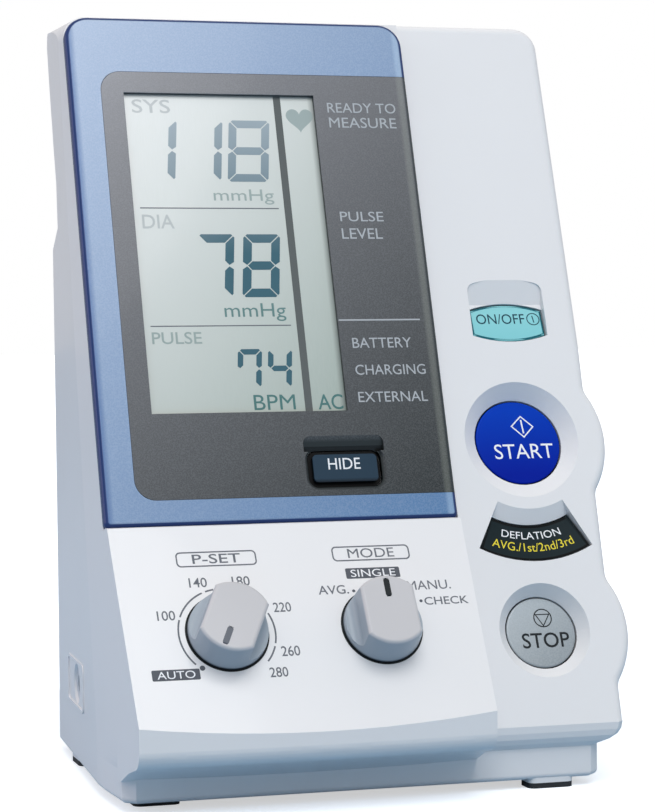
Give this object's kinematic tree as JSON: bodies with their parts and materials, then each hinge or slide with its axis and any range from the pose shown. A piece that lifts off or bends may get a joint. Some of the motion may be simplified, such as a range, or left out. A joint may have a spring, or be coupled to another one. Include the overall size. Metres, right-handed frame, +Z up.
{
  "type": "blood pressure monitor",
  "caption": "Desktop blood pressure monitor: leaning display head with a window panel, sloping front with rotary knobs, and a side strip of press keys.",
  "frame": {"origin": "bottom centre of the whole monitor's box, on the table under the feet", "axes": "+X to the right seen from the front, +Y from the front to the back, +Z up"},
  "size_m": [0.1398, 0.1282, 0.203],
  "materials": {
    "housing_white": "glossy white ABS",
    "panel_blue": "metallic light blue panel with a dark rolled edge",
    "window_grey": "dark grey metallic fleck, printed border of the display",
    "lcd": "reflective segment display",
    "backlight": "diffuser",
    "holder_white": "moulded natural plastic",
    "pcb": "green circuit board",
    "key_blue": "royal blue key",
    "key_grey": "metallic grey key",
    "key_turquoise": "translucent turquoise key",
    "key_charcoal": "charcoal key",
    "key_slate": "slate key",
    "switch_black": "moulded switch body",
    "knob_grey": "warm light grey knob",
    "shaft_plastic": "acetal",
    "screw_steel": "zinc plated steel",
    "cell_wrap": "shrink wrap over metal cells",
    "foam": "foam pad",
    "motor_steel": "plated steel can",
    "socket_grey": "grey air fitting",
    "hose": "silicone hose",
    "valve_black": "solenoid valve",
    "chip_black": "component",
    "sensor_grey": "sensor housing",
    "foot_rubber": "black rubber pad",
    "plate_silver": "bare rating plate"
  },
  "bodies": {
    "case": {"front_housing": "housing_white", "rear_housing": "housing_white", "display_bezel": "panel_blue", "display_window": "window_grey", "lcd_glass": "lcd", "lcd_backlight": "backlight", "lcd_holder": "holder_white", "display_board": "pcb", "key_switches": "switch_black", "hide_switch": "switch_black", "key_board": "pcb", "pset_switch": "switch_black", "mode_switch": "switch_black", "control_board": "pcb", "case_screws": "screw_steel", "board_screws": "screw_steel", "main_board_screws": "screw_steel", "shelf_screws": "screw_steel", "cover_screws": "screw_steel", "battery_cells": "cell_wrap", "battery_box": "holder_white", "battery_cover": "housing_white", "battery_pad": "foam", "pump_motor": "motor_steel", "pump_head": "holder_white", "pump_cradle": "holder_white", "pump_strap": "motor_steel", "strap_screws": "screw_steel", "air_socket": "socket_grey", "socket_hose": "hose", "pump_hose": "hose", "sensor_hose": "hose", "manifold": "holder_white", "control_valve": "valve_black", "exhaust_valve": "valve_black", "shelf": "holder_white", "main_board": "pcb", "board_parts": "chip_black", "pressure_sensor": "sensor_grey", "buzzer": "chip_black", "dc_jack": "chip_black", "rubber_feet": "foot_rubber", "rating_plate": "plate_silver"},
    "start_button": {"start_key": "key_blue"},
    "stop_button": {"stop_key": "key_grey"},
    "on_off_button": {"on_off_key": "key_turquoise"},
    "deflation_button": {"deflation_key": "key_charcoal"},
    "hide_button": {"hide_key": "key_slate"},
    "pset_dial": {"pset_knob": "knob_grey", "pset_shaft": "shaft_plastic"},
    "mode_dial": {"mode_knob": "knob_grey", "mode_shaft": "shaft_plastic"},
    "pump_rotor": {"pump_crank": "shaft_plastic"}
  },
  "joints": [
    {"name": "start_press", "type": "slide", "parent": "case", "child": "start_button", "axis": [0, 0.9018, -0.4321], "range_m": [0, 0.001], "stiffness_N_per_m": 600, "springref_m": -0.001},
    {"name": "stop_press", "type": "slide", "parent": "case", "child": "stop_button", "axis": [0, 0.9018, -0.4321], "range_m": [0, 0.001], "stiffness_N_per_m": 600, "springref_m": -0.001},
    {"name": "on_off_press", "type": "slide", "parent": "case", "child": "on_off_button", "axis": [0, 0.8805, -0.4741], "range_m": [0, 0.001], "stiffness_N_per_m": 600, "springref_m": -0.001},
    {"name": "deflation_press", "type": "slide", "parent": "case", "child": "deflation_button", "axis": [0, 0.9379, -0.3469], "range_m": [0, 0.001], "stiffness_N_per_m": 600, "springref_m": -0.001},
    {"name": "hide_press", "type": "slide", "parent": "case", "child": "hide_button", "axis": [0, 0.9429, -0.333], "range_m": [0, 0.001], "stiffness_N_per_m": 600, "springref_m": -0.001},
    {"name": "pset_turn", "type": "hinge", "parent": "case", "child": "pset_dial", "pos_m": [-0.0434, -0.0485, 0.04451], "axis": [0, 0.829, -0.5592], "range_deg": [0, 284]},
    {"name": "mode_turn", "type": "hinge", "parent": "case", "child": "mode_dial", "pos_m": [-0.0031, -0.0485, 0.04451], "axis": [0, 0.829, -0.5592], "range_deg": [-30, 60]},
    {"name": "pump_spin", "type": "hinge", "parent": "case", "child": "pump_rotor", "pos_m": [0.0343, 0.01655, 0.0205], "axis": [0, 1, 0], "continuous": true}
  ]
}
